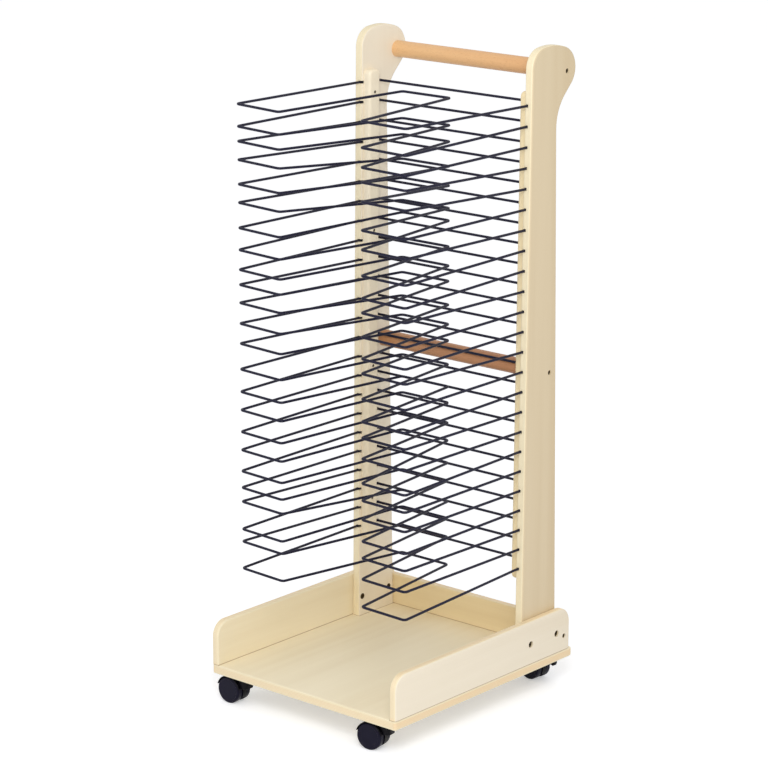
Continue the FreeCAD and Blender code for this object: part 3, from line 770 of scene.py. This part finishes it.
def nylon(name, low, high, roughness):
    """Moulded black nylon: a fine grain and slightly uneven gloss."""
    f = new_finish(name)
    grain = f.noise((2200, 2200, 2200), 2.0, 2.0)
    patch = f.noise((60, 60, 60), 2.0, 5.0)
    return f.surface(relief=grain, depth=0.02, Base_Color=f.blend(patch, low, high),
                     Roughness=roughness + patch * 0.12, Specular_IOR_Level=0.12)


hood_nylon = nylon("hood_nylon", colour(8, 7, 11), colour(13, 11, 18), 0.30)
wheel_nylon = nylon("wheel_nylon", colour(15, 13, 30), colour(22, 20, 40), 0.28)
for corner in corners:
    dress(hood_nylon, corner + "_caster_housing")
    dress(zinc, corner + "_caster_plate", corner + "_caster_axle")
dress(hood_nylon, "rear_left_brake_lever", "rear_right_brake_lever")
print("dressed", len(corners), "hoods, plates and axles")

# %% Wheels
wheel_radius = 26 * MM
wheel_width = 13 * MM
wheel_gap = 11 * MM
wheel_angles = round_angles(96)


def wheel_profile():
    """Rings of one wheel, from the middle of its outer disc over the tread and into its hollow
    inner side, to the bore. Heights are measured along the axle from the middle of the pair."""
    inner = wheel_gap / 2
    outer = inner + wheel_width
    shoulder = 3.5 * MM
    dish = 0.35 * MM
    rim = wheel_radius - shoulder
    rim_flat = 1.4 * MM
    disc = rim - rim_flat - 0.4 * MM
    ease = 0.6 * MM
    hub = 6.6 * MM
    bore = 3.05 * MM
    bore_end = outer - 3 * MM
    hollow = inner + wheel_width / 2
    rings = [(0, outer - dish), (disc, outer - dish), (rim - rim_flat, outer), (rim, outer)]
    rings += arc(rim, outer - shoulder, shoulder, 90, 0, 9)
    rings += arc(wheel_radius - ease, inner + ease, ease, 0, -90, 4)
    rings += [(rim + ease, inner), (rim, inner + ease), (rim, hollow), (hub, hollow), (hub, inner)]
    rings += [(bore, inner), (bore, bore_end), (0, bore_end)]
    return rings


wheel = turned(wheel_profile(), wheel_angles)
for corner in corners:
    spin = joints[corner + "_wheel_spin"]
    pair = [placed(wheel * (1, 1, side), spin["pos_m"], spin["axis"]) for side in (-1, 1)]
    piece(corner + "_twin_wheels", pair, wheel_nylon, spin["child"],
          [corner + "_caster_wheels"])
print("turned", 2 * len(corners), "wheels")

# %% [markdown]
# ## Floor, light and camera
# The rack stands on a white floor in front of a white wall of light. The floor glows a little for
# the camera alone, so that it meets the background without an edge and still takes a shadow. The
# wall and one soft lamp from the front right light the wood at about its own colour.

# %% Floor
floor_reach = 20.0
floor_glow = 0.39


def floor_finish():
    """Matt white, with a glow that lights nothing."""
    f = new_finish("white_floor")
    return f.surface(Base_Color=colour(240, 241, 244), Roughness=0.9, Specular_IOR_Level=0.0,
                     Emission_Color=(1, 1, 1, 1), Emission_Strength=f.seen() * floor_glow)


floor_mesh = bpy.data.meshes.new("floor")
floor_corners = [(-floor_reach, -floor_reach, 0), (floor_reach, -floor_reach, 0),
                 (floor_reach, floor_reach, 0), (-floor_reach, floor_reach, 0)]
floor_mesh.from_pydata(floor_corners, [], [(0, 1, 2, 3)])
floor_mesh.materials.append(floor_finish())
floor = bpy.data.objects.new("floor", floor_mesh)
bpy.context.scene.collection.objects.link(floor)

# %% Light
ambient = 0.70


def studio():
    """World of plain white: ambient for what it lights, 1 for what the camera sees."""
    world = bpy.data.worlds.new("studio")
    s = Shading(world)
    strength = ambient + s.seen() * (1 - ambient)
    sky = s.node("ShaderNodeBackground", None, {"Color": (1, 1, 1, 1), "Strength": strength})
    s.node("ShaderNodeOutputWorld", None, {"Surface": sky})
    return world


def lamp(name, place, aim, size, power):
    """Square area light at place, turned towards aim."""
    light = bpy.data.lights.new(name, "AREA")
    light.size = size
    light.energy = power
    thing = bpy.data.objects.new(name, light)
    thing.location = place
    thing.rotation_euler = (Vector(aim) - Vector(place)).to_track_quat("-Z", "Y").to_euler()
    bpy.context.scene.collection.objects.link(thing)


bpy.context.scene.world = studio()
lamp("key", place=(1.5, -1.8, 1.9), aim=(0, 0, 0.6), size=1.0, power=32)

# %% Camera
camera_azimuth = 40.89
camera_elevation = 15.18
camera_distance = 5.6
camera_aim = Vector((-0.0224, -0.0036, 0.6123))
lens = bpy.data.cameras.new("camera")
lens.lens = 139.55
lens.sensor_width = 36
lens.clip_end = 100
camera = bpy.data.objects.new("camera", lens)
azimuth = math.radians(camera_azimuth)
elevation = math.radians(camera_elevation)
away = Vector((math.sin(azimuth) * math.cos(elevation), -math.cos(azimuth) * math.cos(elevation),
               math.sin(elevation)))
camera.location = camera_aim + camera_distance * away
camera.rotation_euler = (math.pi / 2 - elevation, 0, azimuth)
bpy.context.scene.collection.objects.link(camera)
bpy.context.scene.camera = camera
bpy.context.scene.view_settings.view_transform = "Standard"
print("the camera stands", camera_distance, "m from the rack")
